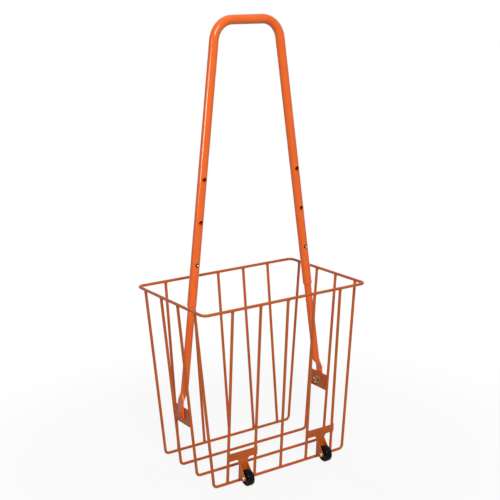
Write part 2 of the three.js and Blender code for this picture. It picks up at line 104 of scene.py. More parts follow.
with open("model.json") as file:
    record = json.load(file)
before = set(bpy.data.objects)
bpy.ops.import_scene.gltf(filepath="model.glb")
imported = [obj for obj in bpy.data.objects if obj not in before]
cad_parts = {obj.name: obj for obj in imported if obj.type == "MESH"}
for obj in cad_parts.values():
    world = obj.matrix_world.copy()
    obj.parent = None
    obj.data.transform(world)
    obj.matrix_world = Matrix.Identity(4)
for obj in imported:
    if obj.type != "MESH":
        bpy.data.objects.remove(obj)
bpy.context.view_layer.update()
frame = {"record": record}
record = frame["record"]
BODY_OF = {node: body for body, nodes in record["behaviour"]["bodies"].items() for node in nodes}
SLOT_OF = {part["node"]: part["material_slot"] for part in record["subparts"]}


def middle(node):
    low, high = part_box(node)
    return (low + high) / 2


# Basket: its sizes from the frame, and those that the frame's boxes don't give
RIM_LOW, RIM_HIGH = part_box("rim_wire")
WIRE = RIM_HIGH.z - RIM_LOW.z
MIDDLE_Y = middle("rim_wire").y
RIM_X = RIM_HIGH.x - WIRE / 2
RIM_DEPTH = RIM_HIGH.y - RIM_LOW.y - WIRE
RIM_Z = middle("rim_wire").z
BOTTOM_Z = WIRE / 2
BOTTOM_DEPTH = middle("back_hoop").y - middle("front_hoop").y
BOTTOM_WIDTH = 274 * MM
RIM_BEND = 10 * MM
HOOP_BEND = 7.5 * MM
HOOPS = ("front_hoop", "inner_front_hoop", "inner_back_hoop", "back_hoop")
BARS_PER_FACE = 5
FACE_LEAN = math.atan2((RIM_DEPTH - BOTTOM_DEPTH) / 2, RIM_Z - BOTTOM_Z)
SIDE_LEAN = math.atan2(RIM_X - BOTTOM_WIDTH / 2, RIM_Z - BOTTOM_Z)

# Wire ends as shares of the wire's diameter: distance from the crossing wire's middle, radius, and
# how much the weld widens the end along the crossing wire
WELD_SHARES = ((0.0, 0.42, 0.0), (0.3, 0.48, 0.16), (0.45, 0.49, 0.24), (0.6, 0.5, 0.15),
               (0.8, 0.5, 0.06), (1.15, 0.5, 0.0))
WELD_LUMP_SHARE = 0.25
WELD_LOBES = 3
BEAD_LUMP_SHARE = 0.12
BEAD_RIPPLE = 2.2 * MM
STEPS_A_RIPPLE = 4
PLATE_BEAD = 1.5 * MM
BAND_BEAD = 1.1 * MM

# Pivots
PIVOT = middle("right_pivot_plate")
PLATE_LOW, PLATE_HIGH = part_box("right_pivot_plate")
PLATE_CORNER = 2 * MM
BOLT = 6 * MM
BOLT_HEAD = 12 * MM
HEAD_CYLINDER_SHARE = 0.35
NUT_SIDES = 6
NUT_TRIM_RISE = 1.2 * MM

# Leg tubes, with their lower ends pressed flat round the bolts, towards the tubes' outer sides
FIT = 0.3 * MM
LEG_TUBE = 13 * MM
TUBE_WALL = 1.2 * MM
FLAT_THICKNESS = 2.7 * MM
FLAT_SEAM = 0.3 * MM
FLAT_WIDTH = 18 * MM
FLAT_FACE_SHARE = 0.5
FLAT_ABOVE_BOLT = 22 * MM
FLAT_TO_ROUND = 22 * MM
FLAT_OFFSET = 2.8 * MM
BORE_START_SHARE = 0.3
LEG_ABOVE_BUTTON = 16 * MM
LEG_X = PLATE_HIGH.x + FIT + FLAT_THICKNESS / 2

# The handle's outer tube
OUTER_TUBE = 16 * MM
HANDLE_TOP_WIDTH = 123 * MM
HANDLE_BEND = 36 * MM
HANDLE_TOP_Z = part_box("handle_tube")[1].z - OUTER_TUBE / 2
HOLE_PITCH = 72 * MM
HOLE_COUNT = 3
END_TO_HOLE = 72 * MM
LIP_SHARE = 0.35
LEG_LEAN = math.atan2(LEG_X - FLAT_OFFSET - HANDLE_TOP_WIDTH / 2, HANDLE_TOP_Z - PIVOT.z)

# Snap buttons, plain pale steel at their tips and painted dark round their sides, as shade from their
# holes
BUTTON = 6 * MM
HOLE_ROOM = 0.8 * MM
BUTTON_FLANGE = 7.8 * MM
BUTTON_FLANGE_HEIGHT = 1 * MM
BUTTON_DOME = 2.8 * MM
BUTTON_BRIGHT = 1.3 * MM
BUTTON_DARK = 2.1 * MM
# The name of the mark that keeps the tips free of the painted shade
UNSHADED_SHARE = "unshaded_share"

# Leaf springs behind the buttons
SPRING_THICKNESS = 0.5 * MM
SPRING_WIDTH = 5 * MM
SPRING_ARM = 26 * MM
SPRING_BEND = 1.4 * MM

# Wheels, axle rivets and brackets. The side outline trims the channel, which is folded deeper than
# the flanges reach. The band is a little thinner than the web that it crosses.
AXLE = 5 * MM
AXLE_HEAD = 6.4 * MM
WHEEL_HUB = 9 * MM
WHEEL_DISH = 1.5 * MM
WHEEL_RIM = 4 * MM
WHEEL_SHOULDER = 2.4 * MM
MOULD_LINE = 0.12 * MM
MOULD_LINE_WIDTH = 0.5 * MM
SHEET = 1.8 * MM
BAND_HEIGHT = 14 * MM
BAND_BOTTOM = 43 * MM
BAND_CORNER = 1.5 * MM
FLANGE_SPACING = 16 * MM
FLANGE_OUTSIDE = (FLANGE_SPACING + SHEET) / 2
FLANGE_INSIDE = (FLANGE_SPACING - SHEET) / 2
FLANGE_TOP = 38 * MM
FLANGE_BOTTOM = 2 * MM
FLANGE_TIP = 10 * MM
FOLD_RADIUS = 2.6 * MM
CHANNEL_DEPTH = 48 * MM
BAND_INSET = 0.04 * MM
WEB_FILLET = 6 * MM

# Edges that are broken on plates and turned pieces, and how finely the skins are cut
EDGE = 0.3 * MM
EDGE_SEGMENTS = 2
WIRE_SIDES = 24
BEAD_SIDES = 12
TUBE_SIDES = 64
TURNED_SIDES = 64
BEND_STEPS = 14
ARC_STEPS = 8
SHARP_ANGLE = math.radians(32)

# How far a tool overruns what it cuts, and how far one that cuts right through reaches to each side
OVERRUN = 2 * MM
CUT_REACH = 16 * MM

# Points nearer than MERGE become one. So does a turned piece's ring on its axis, but not a bead's tip.
MERGE = 0.001 * MM
AXIS_RADIUS = MERGE / 4
BEAD_TIP = 2 * MERGE


# Meshes


def tidy(mesh):
    """Merges the points that meet, turns the faces outwards and shades smooth up to the sharp angle."""
    built = bmesh.new()
    built.from_mesh(mesh)
    bmesh.ops.remove_doubles(built, verts=built.verts, dist=MERGE)
    bmesh.ops.dissolve_degenerate(built, edges=built.edges, dist=MERGE)
    bmesh.ops.recalc_face_normals(built, faces=built.faces)
    built.to_mesh(mesh)
    built.free()
    mesh.polygons.foreach_set("use_smooth", [True] * len(mesh.polygons))
    mesh.set_sharp_from_angle(angle=SHARP_ANGLE)


def in_scene(name, data):
    made = bpy.data.objects.new(name, data)
    bpy.context.scene.collection.objects.link(made)
    return made


def mesh_piece(name, vertices, faces):
    mesh = bpy.data.meshes.new(name)
    mesh.from_pydata(vertices, [], faces)
    tidy(mesh)
    return in_scene(name, mesh)


def lofted(name, rings, closed=False):
    """A skin over rings of points, closed end to end or capped at both ends."""
    count = len(rings[0])
    spans = len(rings) if closed else len(rings) - 1
    faces = []
    for i in range(spans):
        near, far = i * count, (i + 1) % len(rings) * count
        for j in range(count):
            after = (j + 1) % count
            faces.append((near + j, near + after, far + after, far + j))
    vertices = [point for points in rings for point in points]
    if not closed:
        faces += [tuple(range(count)), tuple(range(len(vertices) - count, len(vertices)))]
    return mesh_piece(name, vertices, faces)


def ring(centre, along, across, radius, sides, swell=0.0, phase=0.0):
    """A circle about a direction, widened across where it is a weld, and slightly uneven there."""
    third = along.cross(across)
    points = []
    for j in range(sides):
        angle = math.tau * j / sides
        wide = radius + swell * (1 + WELD_LUMP_SHARE * math.sin(WELD_LOBES * angle + phase))
        points.append(centre + third * radius * math.cos(angle) + across * wide * math.sin(angle))
    return points


def bent_line(corners, bend, closed=False):
    """Places and directions along straight runs that turn through arcs of one radius."""
    count = len(corners)
    line = []
    for i in range(count) if closed else range(1, count - 1):
        before = (corners[i] - corners[i - 1]).normalized()
        after = (corners[(i + 1) % count] - corners[i]).normalized()
        turn = before.angle(after)
        side = (after - before * before.dot(after)).normalized()
        centre = corners[i] - before * bend * math.tan(turn / 2) + side * bend
        for step in range(BEND_STEPS + 1):
            angle = turn * step / BEND_STEPS
            place = centre - side * bend * math.cos(angle) + before * bend * math.sin(angle)
            line.append((place, before * math.cos(angle) + side * math.sin(angle)))
    if not closed:
        line.insert(0, (corners[0], (corners[1] - corners[0]).normalized()))
        line.append((corners[-1], (corners[-1] - corners[-2]).normalized()))
    return line


def weld_rings(place, direction, across, phase):
    """Rings of a wire's end that starts in the middle of the wire that it is welded to."""
    rings = []
    for distance_share, radius_share, swell_share in WELD_SHARES:
        centre = place + direction * distance_share * WIRE
        radius, swell = radius_share * WIRE, swell_share * WIRE
        rings.append(ring(centre, direction, across, radius, WIRE_SIDES, swell, phase))
    return rings


def other_way_round(points):
    """A ring in reverse, from the same first point."""
    return [points[-j % len(points)] for j in range(len(points))]


def welded_wire(name, corners, bend, across, phase):
    """A bent wire whose two ends are welded to the wires that they start in."""
    line = bent_line(corners, bend)
    (start, first), (end, last) = line[0], line[-1]
    rings = weld_rings(start, first, across, phase)
    rings += [ring(place, along, across, WIRE / 2, WIRE_SIDES) for place, along in line[1:-1]]
    far_rings = weld_rings(end, -last, -across, phase)
    rings += [other_way_round(points) for points in reversed(far_rings)]
    return lofted(name, rings)


def bead(name, start, end, radius, phase):
    """A weld bead along a seam, rippled along its length and round at its ends."""
    along = (end - start).normalized()
    across = along.orthogonal().normalized()
    length = (end - start).length
    steps = max(ARC_STEPS, round(STEPS_A_RIPPLE * length / BEAD_RIPPLE))
    rings = []
    for i in range(steps + 1):
        share = i / steps
        distance = length * share
        end_share = min(1.0, min(distance, length - distance) / radius)
        swell = 1 + BEAD_LUMP_SHARE * math.sin(math.tau * distance / BEAD_RIPPLE + phase)
        size = max(BEAD_TIP, radius * swell * math.sqrt(1 - (1 - end_share) ** 2))
        rings.append(ring(start + along * distance, along, across, size, BEAD_SIDES))
    return lofted(name, rings)


def turned(name, profile, centre, axis, closed=False):
    """A turned solid: its profile is (radius, distance along the axis) and meets the axis or itself."""
    across = axis.orthogonal().normalized()
    rings = [ring(centre + axis * along, axis, across, max(radius, AXIS_RADIUS), TURNED_SIDES)
             for radius, along in profile]
    return lofted(name, rings, closed)


def angles(start, end):
    """Angles in radians, evenly spread between two in degrees."""
    return [math.radians(start + (end - start) * i / ARC_STEPS) for i in range(ARC_STEPS + 1)]


def arc(centre_out, centre_along, size, start, end):
    """Profile or outline points round an arc between two angles in degrees."""
    return [(centre_out + size * math.cos(angle), centre_along + size * math.sin(angle))
            for angle in angles(start, end)]


def dome(radius, base, height):
    """Profile points of a dome, from the edge of its base to its top on the axis."""
    return [(radius * math.cos(angle), base + height * math.sin(angle)) for angle in angles(0, 90)]


def rod(radius, start, end):
    """The profile of a plain rod between two places on its axis."""
    return [(0, start), (radius, start), (radius, end), (0, end)]


def other_side(outline):
    """The left half of an outline, from its right half."""
    return [(-x, y) for x, y in reversed(outline)]


def other_end(profile):
    """The near half of a profile, from its far half."""
    return [(out, -along) for out, along in reversed(profile)]


def rectangle(width, height, corner):
    x, y = width / 2 - corner, height / 2 - corner
    return [*arc(x, y, corner, 0, 90), *arc(-x, y, corner, 90, 180),
            *arc(-x, -y, corner, 180, 270), *arc(x, -y, corner, 270, 360)]


def circle(radius, sides=TURNED_SIDES):
    return [(radius * math.cos(math.tau * i / sides), radius * math.sin(math.tau * i / sides))
            for i in range(sides)]


def plate(name, outline, holes, thickness, place):
    """A flat plate with its outline in its own XY plane, centred on that plane, then put in place."""
    built = bmesh.new()
    for loop in [outline, *holes]:
        corners = [built.verts.new((x, y, -thickness / 2)) for x, y in loop]
        for first, second in zip(corners, corners[1:] + corners[:1]):
            built.edges.new((first, second))
    bmesh.ops.triangle_fill(built, edges=built.edges[:], use_beauty=True)
    raised = bmesh.ops.extrude_face_region(built, geom=built.faces[:])["geom"]
    raised_corners = [item for item in raised if isinstance(item, bmesh.types.BMVert)]
    bmesh.ops.translate(built, verts=raised_corners, vec=(0, 0, thickness))
    built.transform(place)
    mesh = bpy.data.meshes.new(name)
    built.to_mesh(mesh)
    built.free()
    tidy(mesh)
    return in_scene(name, mesh)


def quarter_turn(axis):
    return Matrix.Rotation(QUARTER, 4, axis)


# Turns a plate to face sideways, with its outline's first direction along Y and its second one up
SIDEWAYS = quarter_turn("Z") @ quarter_turn("X")


def combined(piece, tool, operation):
    """Joins, cuts or trims a piece with a tool, which is then removed."""
    modifier = piece.modifiers.new(operation.lower(), "BOOLEAN")
    modifier.operation = operation
    modifier.solver = "EXACT"
    modifier.object = tool
    evaluated = piece.evaluated_get(bpy.context.evaluated_depsgraph_get())
    mesh = bpy.data.meshes.new_from_object(evaluated)
    piece.modifiers.clear()
    piece.data = mesh
    bpy.data.objects.remove(tool)
    tidy(mesh)
    return piece


def bored(piece, diameter, centre):
    """Bores a piece right through along X, for a pin of some diameter."""
    profile = rod(diameter / 2 + FIT, -CUT_REACH, CUT_REACH)
    return combined(piece, turned("bore_tool", profile, centre, X), "DIFFERENCE")


def with_soft_edges(piece):
    bevel = piece.modifiers.new("edges", "BEVEL")
    bevel.width = EDGE
    bevel.segments = EDGE_SEGMENTS
    bevel.limit_method = "ANGLE"
    bevel.angle_limit = SHARP_ANGLE
    bevel.harden_normals = True
    return piece


# Materials


def principled(name, specular, metallic=0.0):
    made = bpy.data.materials.new(name)
    made.use_nodes = True
    shader = made.node_tree.nodes["Principled BSDF"]
    shader.inputs["Metallic"].default_value = metallic
    shader.inputs["Specular IOR Level"].default_value = specular
    return made, made.node_tree, shader


def noise(tree, scale, detail, stretch=(1, 1, 1)):
    """Noise in the object's own metres: scale is in cycles a metre."""
    place = tree.nodes.new("ShaderNodeTexCoord")
    mapping = tree.nodes.new("ShaderNodeMapping")
    mapping.inputs["Scale"].default_value = stretch
    texture = tree.nodes.new("ShaderNodeTexNoise")
    texture.inputs["Scale"].default_value = scale
    texture.inputs["Detail"].default_value = detail
    tree.links.new(place.outputs["Object"], mapping.inputs["Vector"])
    tree.links.new(mapping.outputs["Vector"], texture.inputs["Vector"])
    return texture.outputs["Fac"]


def ranged(tree, value, low, high):
    """Spreads noise, which stays near its middle, over a range."""
    spread = tree.nodes.new("ShaderNodeMapRange")
    spread.inputs["From Min"].default_value = NOISE_ENDS[0]
    spread.inputs["From Max"].default_value = NOISE_ENDS[1]
    spread.inputs["To Min"].default_value = low
    spread.inputs["To Max"].default_value = high
    tree.links.new(value, spread.inputs["Value"])
    return spread.outputs["Result"]


def mixed(tree, share, first, second):
    mix = tree.nodes.new("ShaderNodeMix")
    mix.data_type = "RGBA"
    mix.inputs["A"].default_value = (*first, 1)
    mix.inputs["B"].default_value = (*second, 1)
    tree.links.new(share, mix.inputs["Factor"])
    return mix.outputs["Result"]


def mottled(tree, shader, texture, deep_colour, colour):
    """Mottles a surface's colour with a deeper tone of it."""
    share = ranged(tree, noise(tree, *texture), 0, 1)
    tree.links.new(mixed(tree, share, deep_colour, colour), shader.inputs["Base Color"])


def patchy(tree, shader, texture, roughness):
    """Makes a surface smoother in some patches than in others."""
    tree.links.new(ranged(tree, noise(tree, *texture), *roughness), shader.inputs["Roughness"])


def in_relief(tree, shader, texture, depth, strength):
    """Gives a surface a fine relief."""
    bump = tree.nodes.new("ShaderNodeBump")
    bump.inputs["Strength"].default_value = strength
    bump.inputs["Distance"].default_value = depth
    tree.links.new(noise(tree, *texture), bump.inputs["Height"])
    tree.links.new(bump.outputs["Normal"], shader.inputs["Normal"])


def powder_coat(name, colour, deep_colour, roughness, specular):
    """Sprayed and baked powder paint: slightly uneven in depth, with a fine orange-peel surface."""
    made, tree, shader = principled(name, specular)
    mottled(tree, shader, PAINT_MOTTLING, deep_colour, colour)
    patchy(tree, shader, PAINT_PATCHES, roughness)
    in_relief(tree, shader, ORANGE_PEEL, PEEL_DEPTH, PEEL_STRENGTH)
    return made


def plated_steel(name):
    """Zinc-plated steel: pale, slightly mottled, with fine turning marks."""
    made, tree, shader = principled(name, STEEL_SPECULAR, metallic=1.0)
    mottled(tree, shader, STEEL_MOTTLING, STEEL_DEEP, STEEL_PALE)
    patchy(tree, shader, STEEL_PATCHES, STEEL_ROUGHNESS)
    in_relief(tree, shader, TURNING_MARKS, MARKS_DEPTH, MARKS_STRENGTH)
    return made


def steel_with_painted_shade(name):
    """Steel darkened as painted shade, fading to its plain pale tone where the mark on its points is one.
    """
    made, tree, shader = principled(name, STEEL_SPECULAR, metallic=1.0)
    unshaded_share = tree.nodes.new("ShaderNodeAttribute")
    unshaded_share.attribute_name = UNSHADED_SHARE
    tone = mixed(tree, unshaded_share.outputs["Fac"], STEEL_PAINTED_SHADE, STEEL_PALE)
    tree.links.new(tone, shader.inputs["Base Color"])
    patchy(tree, shader, STEEL_PATCHES, STEEL_ROUGHNESS)
    return made


def black_plastic(name):
    """Moulded black plastic, worn a little paler in specks, with a fine grain."""
    made, tree, shader = principled(name, PLASTIC_SPECULAR)
    mottled(tree, shader, PLASTIC_SCUFFS, BLACK_DEEP, BLACK_WORN)
    patchy(tree, shader, PLASTIC_PATCHES, PLASTIC_ROUGHNESS)
    in_relief(tree, shader, PLASTIC_GRAIN, GRAIN_DEPTH, GRAIN_STRENGTH)
    return made


MATERIALS = {
    # The wires' colours carry painted shade.
    "wire_paint": powder_coat("wire_paint", WIRE_SHADED_ORANGE, WIRE_SHADED_DEEP, WIRE_ROUGHNESS, WIRE_SPECULAR),
    "handle_paint": powder_coat("handle_paint", HANDLE_ORANGE, HANDLE_DEEP,
                                HANDLE_ROUGHNESS, HANDLE_SPECULAR),
    "steel": plated_steel("plated_steel"),
    "wheel_plastic": black_plastic("wheel_plastic"),
}
# Steel with painted shade round the buttons' sides
STEEL_WITH_PAINTED_SHADE = steel_with_painted_shade("steel_with_painted_shade")


def rides(piece, body, slot):
    """The piece moves with a body and wears a slot's material."""
    piece.data.materials.clear()
    piece.data.materials.append(MATERIALS[slot])
    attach(piece, body)


def stands_for(piece, node):
    """The piece takes its CAD node's place, body and finish."""
    rides(piece, BODY_OF[node], SLOT_OF[node])
    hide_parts(node)
    return piece


# The wire basket


def rim():
    front, back = MIDDLE_Y - RIM_DEPTH / 2, MIDDLE_Y + RIM_DEPTH / 2
    corners = [Vector((-RIM_X, front, RIM_Z)), Vector((RIM_X, front, RIM_Z)),
               Vector((RIM_X, back, RIM_Z)), Vector((-RIM_X, back, RIM_Z))]
    line = bent_line(corners, RIM_BEND, closed=True)
    rings = [ring(place, along, Z, WIRE / 2, WIRE_SIDES) for place, along in line]
    stands_for(lofted("rim", rings, closed=True), "rim_wire")


def hoops():
    for phase, node in enumerate(HOOPS):
        y = middle(node).y
        corners = [Vector((-RIM_X, y, RIM_Z)), Vector((-BOTTOM_WIDTH / 2, y, BOTTOM_Z)),
                   Vector((BOTTOM_WIDTH / 2, y, BOTTOM_Z)), Vector((RIM_X, y, RIM_Z))]
        stands_for(welded_wire(f"welded_{node}", corners, HOOP_BEND, Y, phase), node)


def bars():
    for end_name, end in ENDS:
        for i in range(BARS_PER_FACE):
            node = f"{end_name}_bar_{i + 1}"
            x = middle(node).x
            foot = Vector((x, MIDDLE_Y + end * BOTTOM_DEPTH / 2, BOTTOM_Z))
            top = Vector((x, MIDDLE_Y + end * RIM_DEPTH / 2, RIM_Z))
            stands_for(welded_wire(f"welded_{node}", [foot, top], WIRE, X, i + end), node)


# Pivots


def on_pivot(side, x):
    """A point on the pivots' axis, at a distance from the middle."""
    return Vector((side * x, PIVOT.y, PIVOT.z))


def pivot_plates():
    width, height = PLATE_HIGH.y - PLATE_LOW.y, PLATE_HIGH.z - PLATE_LOW.z
    thickness = PLATE_HIGH.x - PLATE_LOW.x
    for side_name, side in SIDES:
        node = f"{side_name}_pivot_plate"
        made = plate(f"{side_name}_plate", rectangle(width, height, PLATE_CORNER),
                     [circle(BOLT / 2 + FIT)], thickness, Matrix.Translation(middle(node)) @ SIDEWAYS)
        stands_for(with_soft_edges(made), node)
        plate_welds(side_name, side, width, height)


def plate_welds(side_name, side, width, height):
    """A bead down each upright edge of a pivot plate, which joins it to the hoop beside it."""
    half = height / 2 - PLATE_CORNER
    # The bead leans half as much as the hoop, because the plate is upright.
    lean = math.tan(SIDE_LEAN) / 2
    for end_name, end in ENDS:
        y = MIDDLE_Y + end * (width / 2 + FIT)
        low = Vector((side * (PIVOT.x - half * lean), y, PIVOT.z - half))
        high = Vector((side * (PIVOT.x + half * lean), y, PIVOT.z + half))
        made = bead(f"{side_name}_plate_weld_{end_name}", low, high, PLATE_BEAD, side + end)
        rides(made, "basket", "wire_paint")


def pivot_bolt(side_name, side):
    """A low domed head outside the flat end of the leg tube, and a shank through to the nut."""
    node = f"{side_name}_pivot_bolt"
    low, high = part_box(node)
    seat = LEG_X + FLAT_THICKNESS / 2 + FIT
    head = max(abs(low.x), abs(high.x)) - seat
    shank = seat - min(abs(low.x), abs(high.x))
    base = head * HEAD_CYLINDER_SHARE
    profile = [(0, -shank), (BOLT / 2 - EDGE, -shank), (BOLT / 2, EDGE - shank), (BOLT / 2, 0),
               (BOLT_HEAD / 2 - EDGE / 2, 0), *dome(BOLT_HEAD / 2, base, head - base)]
    stands_for(turned(f"{side_name}_bolt", profile, on_pivot(side, seat), X * side), node)


def pivot_washer(side_name):
    node = f"{side_name}_pivot_washer"
    low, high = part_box(node)
    outside, half = (high.z - low.z) / 2, (high.x - low.x) / 2
    bore = BOLT / 2 + FIT
    profile = [(bore, -half), (outside - EDGE, -half), (outside, EDGE - half), (outside, half - EDGE),
               (outside - EDGE, half), (bore, half)]
    stands_for(turned(f"{side_name}_washer", profile, middle(node), X, closed=True), node)


def pivot_nut(side_name):
    """A hexagon whose corners are turned down at both faces."""
    node = f"{side_name}_pivot_nut"
    low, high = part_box(node)
    half = (high.x - low.x) / 2
    corner = (high.z - low.z) / 2
    flats = corner * math.cos(math.pi / NUT_SIDES)
    made = plate(f"{side_name}_nut", circle(corner, NUT_SIDES), [circle(BOLT / 2 + FIT)], 2 * half,
                 Matrix.Translation(middle(node)) @ quarter_turn("Y"))
    far_half = [(corner + OVERRUN, half - NUT_TRIM_RISE), (flats, half), (0, half)]
    lens = [*other_end(far_half), *far_half]
    stands_for(combined(made, turned("nut_trim", lens, middle(node), X), "INTERSECT"), node)


# The handle


def roundness(height):
    """How round a leg tube is at a height: 0 where it is pressed flat, easing to 1 where it is a tube."""
    share = min(max((height - FLAT_ABOVE_BOLT) / FLAT_TO_ROUND, 0), 1)
    return share * share * (3 - 2 * share)


def leg_place(side, height):
    """The middle and direction of a leg tube at a height along it from its bolt."""
    share = roundness(height)
    angle = LEG_LEAN * share
    inward = share * (FLAT_OFFSET + height * math.sin(LEG_LEAN))
    upward = height + (height * math.cos(LEG_LEAN) - height) * share
    place = Vector((side * (LEG_X - inward), MIDDLE_Y, PIVOT.z + upward))
    return place, Vector((-side * math.sin(angle), 0, math.cos(angle)))


def leg_ring(side, height, radius, half_thickness, half_width):
    """One section of a leg tube: flat beside its bolt, round higher up, narrowed round its tip."""
    place, along = leg_place(side, height)
    third = along.cross(Y)
    share = roundness(height)
    if height < 0:
        half_width = math.sqrt(max(half_width ** 2 - height ** 2, MERGE ** 2))
    points = []
    for j in range(TUBE_SIDES):
        angle = math.tau * j / TUBE_SIDES
        flat_out = half_thickness * min(max(math.cos(angle) / FLAT_FACE_SHARE, -1), 1)
        out = flat_out + (radius * math.cos(angle) - flat_out) * share
        wide = half_width * math.sin(angle) + (radius - half_width) * math.sin(angle) * share
        points.append(place + third * out + Y * wide)
    return points


def leg_up(side):
    """The direction up the straight part of a leg."""
    return Vector((-side * math.sin(LEG_LEAN), 0, math.cos(LEG_LEAN)))


def button_place(side_name):
    """Where a button's axis meets its leg's axis."""
    button = middle(f"{side_name}_snap_button")
    return Vector((button.x, MIDDLE_Y, button.z))


def hole_tool(place, room):
    """A rod that cuts a button's hole into a tube's front wall, with some room round the button."""
    return turned("hole_tool", rod(BUTTON / 2 + room, 0, OUTER_TUBE), place, -Y)


def leg_tube(side_name, side):
    """The inner tube, pressed flat and rounded off round its bolt, and hollow above its neck."""
    tip = FLAT_WIDTH / 2
    button = button_place(side_name)
    top = (button.z - PIVOT.z) / math.cos(LEG_LEAN) + LEG_ABOVE_BUTTON
    tip_heights = [-tip * math.cos(QUARTER * i / BEND_STEPS) for i in range(BEND_STEPS)]
    neck = [FLAT_ABOVE_BOLT + FLAT_TO_ROUND * i / BEND_STEPS for i in range(BEND_STEPS + 1)]
    outside = [*tip_heights, 0, *neck, top]
    bore_start = FLAT_ABOVE_BOLT + FLAT_TO_ROUND * BORE_START_SHARE
    bore = [top, *[height for height in reversed(neck) if height > bore_start]]
    outer, inner = LEG_TUBE / 2, LEG_TUBE / 2 - TUBE_WALL
    rings = [leg_ring(side, height, outer, FLAT_THICKNESS / 2, tip) for height in outside]
    rings += [leg_ring(side, height, inner, FLAT_SEAM / 2, tip - TUBE_WALL) for height in bore]
    made = combined(lofted(f"{side_name}_leg", rings), hole_tool(button, FIT), "DIFFERENCE")
    stands_for(bored(made, BOLT, on_pivot(side, LEG_X)), f"{side_name}_leg_tube")


def handle_tube():
    """The outer tube, bent to a U, with its lips rounded and its row of holes in each leg."""
    ends = {}
    holes = []
    for side_name, side in SIDES:
        button, up = button_place(side_name), leg_up(side)
        ends[side] = button - up * END_TO_HOLE
        holes += [button + up * HOLE_PITCH * i for i in range(HOLE_COUNT)]
    corners = [ends[-1], Vector((-HANDLE_TOP_WIDTH / 2, MIDDLE_Y, HANDLE_TOP_Z)),
               Vector((HANDLE_TOP_WIDTH / 2, MIDDLE_Y, HANDLE_TOP_Z)), ends[1]]
    line = bent_line(corners, HANDLE_BEND)
    (start, first), (end, last) = line[0], line[-1]
    radius, lip = OUTER_TUBE / 2, TUBE_WALL * LIP_SHARE
    skin = [(start, first, radius - lip), (start + first * lip, first, radius)]
    skin += [(place, along, radius) for place, along in line[1:-1]]
    skin += [(end - last * lip, last, radius), (end, last, radius - lip)]
    skin += [(place, along, radius - TUBE_WALL) for place, along in reversed(line)]
    rings = [ring(place, along, Y, size, TUBE_SIDES) for place, along, size in skin]
    made = lofted("handle", rings, closed=True)
    for place in holes:
        combined(made, hole_tool(place, HOLE_ROOM), "DIFFERENCE")
    stands_for(made, "handle_tube")


def snap_button(side_name):
    node = f"{side_name}_snap_button"
    low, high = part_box(node)
    top, flange_back = MIDDLE_Y - low.y, MIDDLE_Y - high.y
    flange_front = flange_back + BUTTON_FLANGE_HEIGHT
    profile = [(0, flange_back), (BUTTON_FLANGE / 2, flange_back), (BUTTON_FLANGE / 2, flange_front),
               (BUTTON / 2, flange_front), *dome(BUTTON / 2, top - BUTTON_DOME, BUTTON_DOME)]
    made = stands_for(turned(f"{side_name}_button", profile, button_place(side_name), -Y), node)
    # The button's sides are painted dark, as shade from its hole.
    made.data.materials[0] = STEEL_WITH_PAINTED_SHADE
    paint_side_shade(made, button_place(side_name))


def paint_side_shade(button, centre):
    """Marks the round tip as plain pale steel, fading to the painted shade towards its sides, where the
    hole shades them.
    """
    unshaded_share = button.data.attributes.new(UNSHADED_SHARE, "FLOAT", "POINT")
    for vertex, mark in zip(button.data.vertices, unshaded_share.data):
        from_axis = (vertex.co - centre).cross(Y).length
        mark.value = min(max((BUTTON_DARK - from_axis) / (BUTTON_DARK - BUTTON_BRIGHT), 0), 1)


def leaf_spring(side_name, side):
    """A strip bent to a V. Its front arm bears on the button."""
    node, joint = f"{side_name}_button_spring", f"{side_name}_button_press"
    low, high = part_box(node)
    button, up = button_place(side_name), leg_up(side)
    sideways = up.cross(Y)
    front = Y * (low.y + SPRING_THICKNESS / 2 - MIDDLE_Y)
    back = Y * (high.y - SPRING_THICKNESS / 2 - MIDDLE_Y)
    foot = button - up * BUTTON_FLANGE / 2
    fold = button + up * SPRING_ARM + (front + back) / 2
    across = sideways * SPRING_WIDTH / 2
    rings = []
    for place, along in bent_line([foot + front, fold, foot + back], SPRING_BEND):
        through = along.cross(sideways) * SPRING_THICKNESS / 2
        rings.append([place - across - through, place + across - through,
                      place + across + through, place - across + through])
    made = stands_for(lofted(f"{side_name}_leaf", rings), node)
    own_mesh(made)


# Wheels and their brackets


def face_place():
    """The front face's own frame: z runs up its bars, and y points back into the basket."""
    foot = Vector((0, MIDDLE_Y - BOTTOM_DEPTH / 2, BOTTOM_Z))
    return Matrix.Translation(foot) @ Matrix.Rotation(FACE_LEAN, 4, "X")


def tangent_angle(point, radius, turn):
    """The angle, about the origin, at which a line from a point touches a circle."""
    return math.degrees(math.atan2(point[1], point[0]) + turn * math.acos(radius / math.hypot(*point)))


def bracket_side(axle_y, axle_z, back, top):
    """The bracket seen from its side, as (y, z) in the face's frame."""
    tip = FLANGE_TIP / 2
    upper = tangent_angle((back - axle_y, FLANGE_TOP - axle_z), tip, 1)
    # The arc runs over the front of the tip, so its end is counted once round.
    lower = tangent_angle((back - axle_y, FLANGE_BOTTOM - axle_z), tip, -1) + 360
    round_tip = arc(axle_y, axle_z, tip, upper, lower)
    slope = (round_tip[0][1] - FLANGE_TOP) / (round_tip[0][0] - back)
    shoulder = FLANGE_TOP - slope * SHEET
    return [(back, FLANGE_BOTTOM), (back, top), (back - SHEET, top), (back - SHEET, shoulder),
            *round_tip]


def channel_outline():
    """The bracket's folded web and flanges seen from above, as (x, y) from the web's back."""
    fold, inner_fold = FOLD_RADIUS, FOLD_RADIUS - SHEET
    outside = [*arc(FLANGE_OUTSIDE - fold, -fold, fold, 90, 0), (FLANGE_OUTSIDE, -CHANNEL_DEPTH)]
    inside = [(FLANGE_INSIDE, -CHANNEL_DEPTH),
              *arc(FLANGE_INSIDE - inner_fold, -SHEET - inner_fold, inner_fold, 0, 90)]
    return [*other_side(outside), *outside, *inside, *other_side(inside)]


